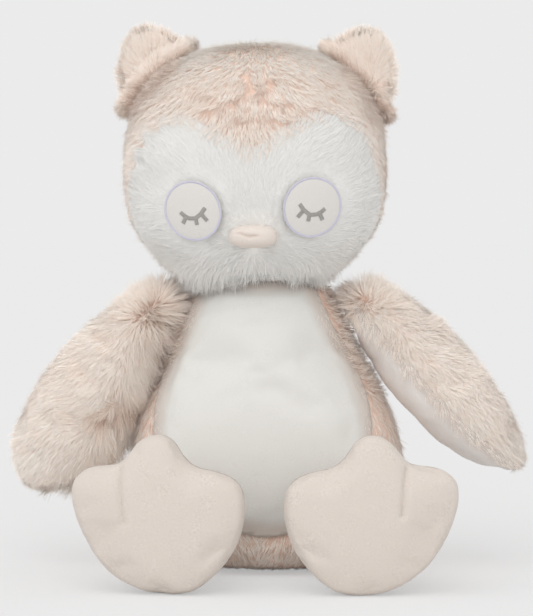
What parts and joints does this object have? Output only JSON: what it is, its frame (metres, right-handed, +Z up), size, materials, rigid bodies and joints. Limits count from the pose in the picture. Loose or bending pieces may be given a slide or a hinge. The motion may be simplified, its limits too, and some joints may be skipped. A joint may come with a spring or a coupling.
{
  "type": "plush owl",
  "caption": "Sitting stuffed owl with long tan fur, white lobed face with closed stitched eyes, smooth belly, wings and broad three-toed feet.",
  "frame": {"origin": "middle of the flat face under the body that the owl sits on", "axes": "+Z up through the head, -Y towards what the face looks at, +X towards the owl's own left wing"},
  "size_m": [0.2865, 0.1865, 0.296],
  "materials": {
    "tan_fur": "matte",
    "white_fur": "matte",
    "white_velour": "matte",
    "eye_velour": "matte",
    "ring_thread": "satin",
    "lid_thread": "satin",
    "beak_velour": "matte",
    "foot_velour": "matte",
    "stuffing": "matte"
  },
  "bodies": {
    "torso": {"body_fur_shell": "tan_fur", "belly_panel": "white_velour", "body_filling": "stuffing"},
    "head": {"head_fur_shell": "tan_fur", "face_panel": "white_fur", "head_filling": "stuffing", "beak": "beak_velour", "left_eye_patch": "eye_velour", "left_eye_ring": "ring_thread", "left_closed_lid": "lid_thread", "left_ear": "tan_fur", "right_eye_patch": "eye_velour", "right_eye_ring": "ring_thread", "right_closed_lid": "lid_thread", "right_ear": "tan_fur"},
    "left_wing": {"left_wing_fur": "tan_fur", "left_wing_lining": "white_velour", "left_wing_filling": "stuffing"},
    "right_wing": {"right_wing_fur": "tan_fur", "right_wing_lining": "white_velour", "right_wing_filling": "stuffing"},
    "left_foot": {"left_foot_sole": "foot_velour", "left_foot_upper": "foot_velour", "left_foot_filling": "stuffing"},
    "right_foot": {"right_foot_sole": "foot_velour", "right_foot_upper": "foot_velour", "right_foot_filling": "stuffing"}
  },
  "joints": [
    {"name": "head_nod", "type": "hinge", "parent": "torso", "child": "head", "pos_m": [-0.006, 0, 0.119], "axis": [1, 0, 0], "range_deg": [-15, 15], "stiffness_Nm_per_rad": 1.2},
    {"name": "left_wing_raise", "type": "hinge", "parent": "torso", "child": "left_wing", "pos_m": [0.0509, -0.004, 0.142], "axis": [0, -1, 0], "range_deg": [0, 70], "stiffness_Nm_per_rad": 0.3},
    {"name": "right_wing_raise", "type": "hinge", "parent": "torso", "child": "right_wing", "pos_m": [-0.0629, -0.004, 0.142], "axis": [0, 1, 0], "range_deg": [0, 70], "stiffness_Nm_per_rad": 0.3},
    {"name": "left_foot_lift", "type": "hinge", "parent": "torso", "child": "left_foot", "pos_m": [0.051, -0.0691, 0.0365], "axis": [-1, 0, 0], "range_deg": [0, 25], "stiffness_Nm_per_rad": 0.3},
    {"name": "right_foot_lift", "type": "hinge", "parent": "torso", "child": "right_foot", "pos_m": [-0.051, -0.0691, 0.0365], "axis": [-1, 0, 0], "range_deg": [0, 25], "stiffness_Nm_per_rad": 0.3}
  ]
}
